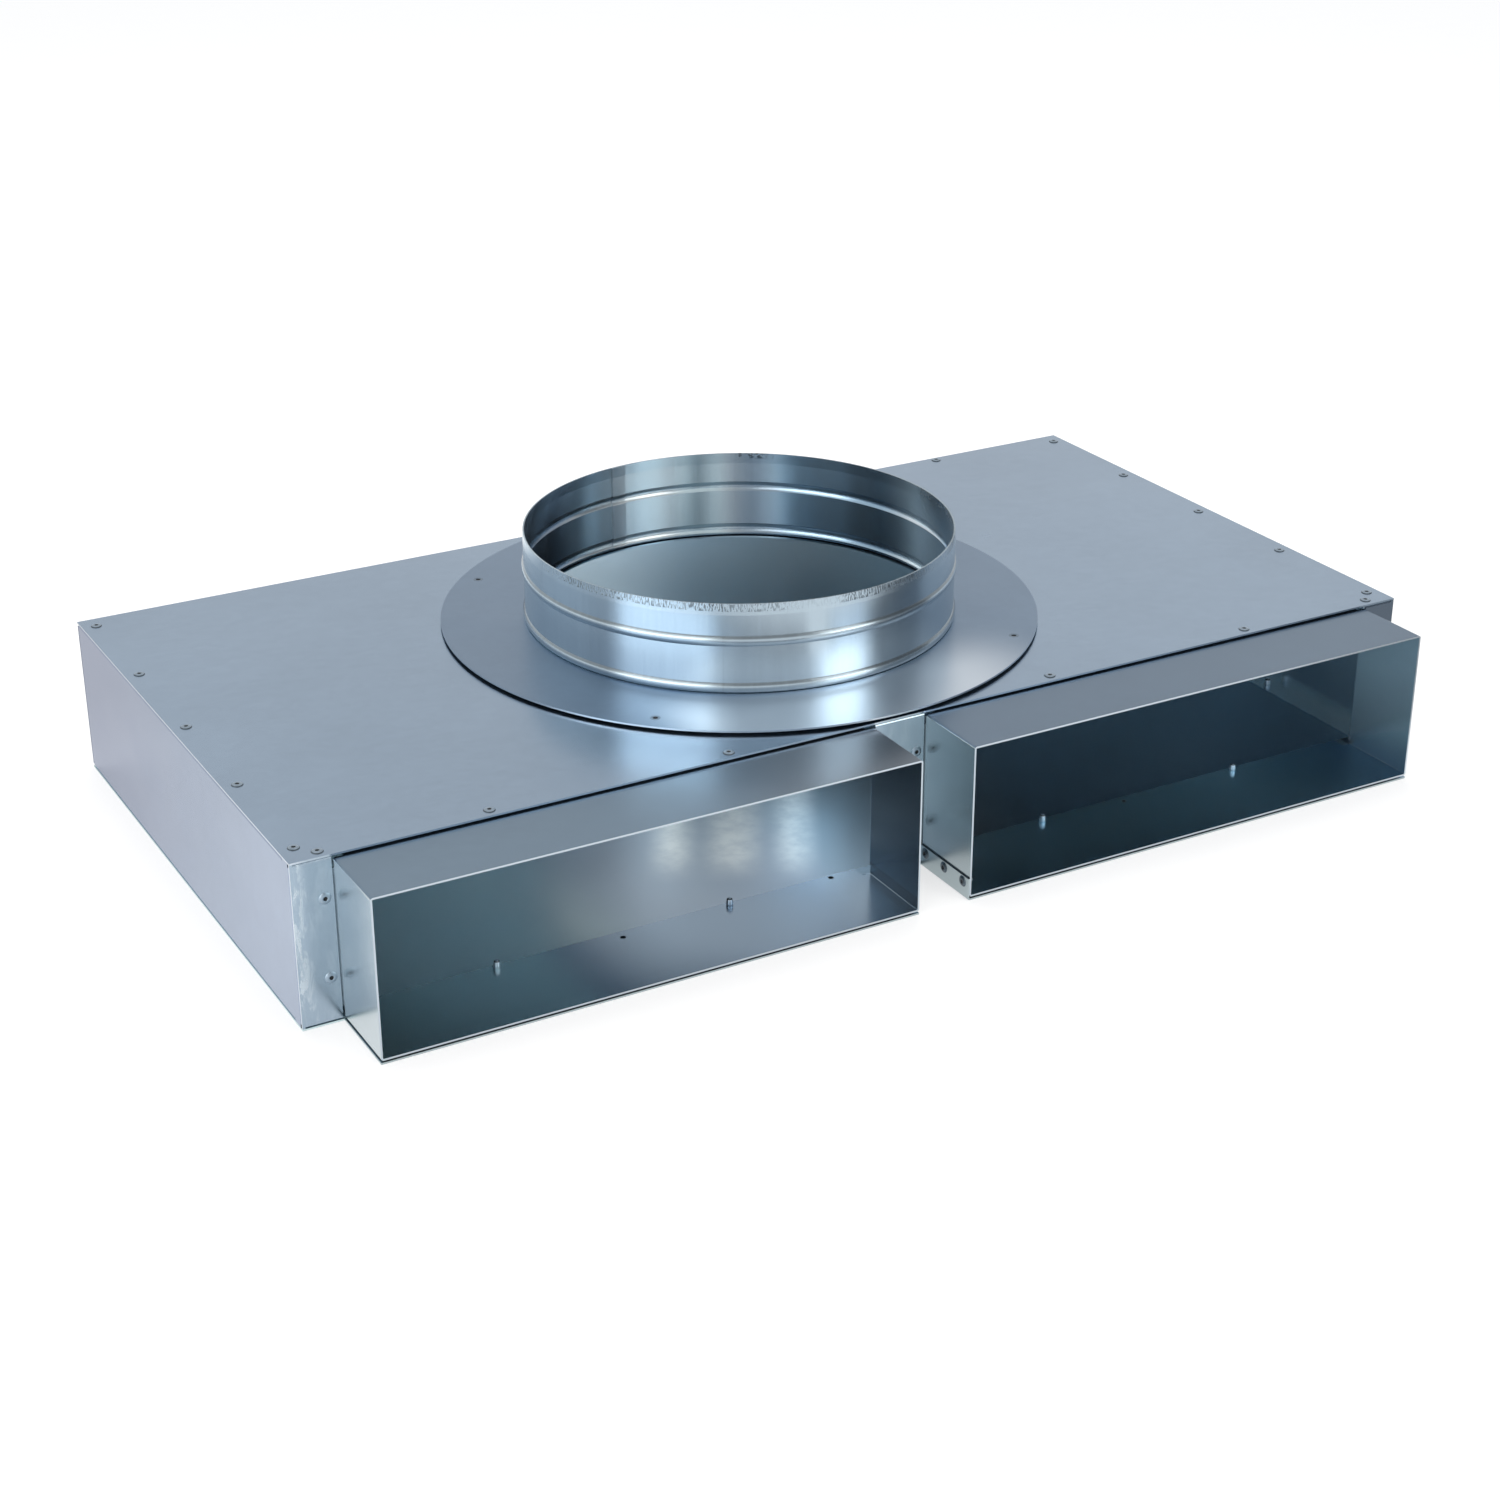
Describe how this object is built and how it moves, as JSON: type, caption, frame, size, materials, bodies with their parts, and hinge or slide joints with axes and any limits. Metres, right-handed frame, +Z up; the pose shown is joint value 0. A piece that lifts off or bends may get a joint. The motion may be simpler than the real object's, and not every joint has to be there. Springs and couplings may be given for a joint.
{
  "type": "flat duct splitter",
  "caption": "low sheet-steel plenum box that joins one round duct collar on its lid to two flat rectangular duct spigots side by side at its front",
  "frame": {"origin": "on the ground under the middle of the whole width and the whole depth, spigots included", "axes": "X runs along the front from the left spigot to the right one, Y runs from the spigot mouths to the back wall, Z is up through the collar"},
  "size_m": [0.69, 0.396, 0.1475],
  "materials": {
    "galvanised_sheet": "zinc-coated mill sheet, soft reflective with a faint bluish cast",
    "collar_sheet": "zinc-coated sheet rolled round, brighter, fine vertical streaks",
    "rivet_metal": "dull grey blind rivets",
    "seal_foam": "matt black closed-cell foam tape"
  },
  "bodies": {
    "root": {"base_plate": "galvanised_sheet", "lid_plate": "galvanised_sheet", "left_side_wall": "galvanised_sheet", "right_side_wall": "galvanised_sheet", "back_wall": "galvanised_sheet", "front_frame": "galvanised_sheet", "left_spigot_sleeve": "galvanised_sheet", "right_spigot_sleeve": "galvanised_sheet", "flange_ring": "galvanised_sheet", "collar_band": "collar_sheet", "flange_seal": "seal_foam", "lid_rivets_left": "rivet_metal", "lid_rivets_right": "rivet_metal", "lid_rivets_front": "rivet_metal", "lid_rivets_back": "rivet_metal", "base_rivets_left": "rivet_metal", "base_rivets_right": "rivet_metal", "base_rivets_front": "rivet_metal", "base_rivets_back": "rivet_metal", "floor_rivets": "rivet_metal", "strip_rivets_left": "rivet_metal", "strip_rivets_right": "rivet_metal", "post_rivets": "rivet_metal", "rear_rivets_left": "rivet_metal", "rear_rivets_right": "rivet_metal", "seam_rivets": "rivet_metal", "ring_rivets": "rivet_metal"}
  },
  "joints": []
}
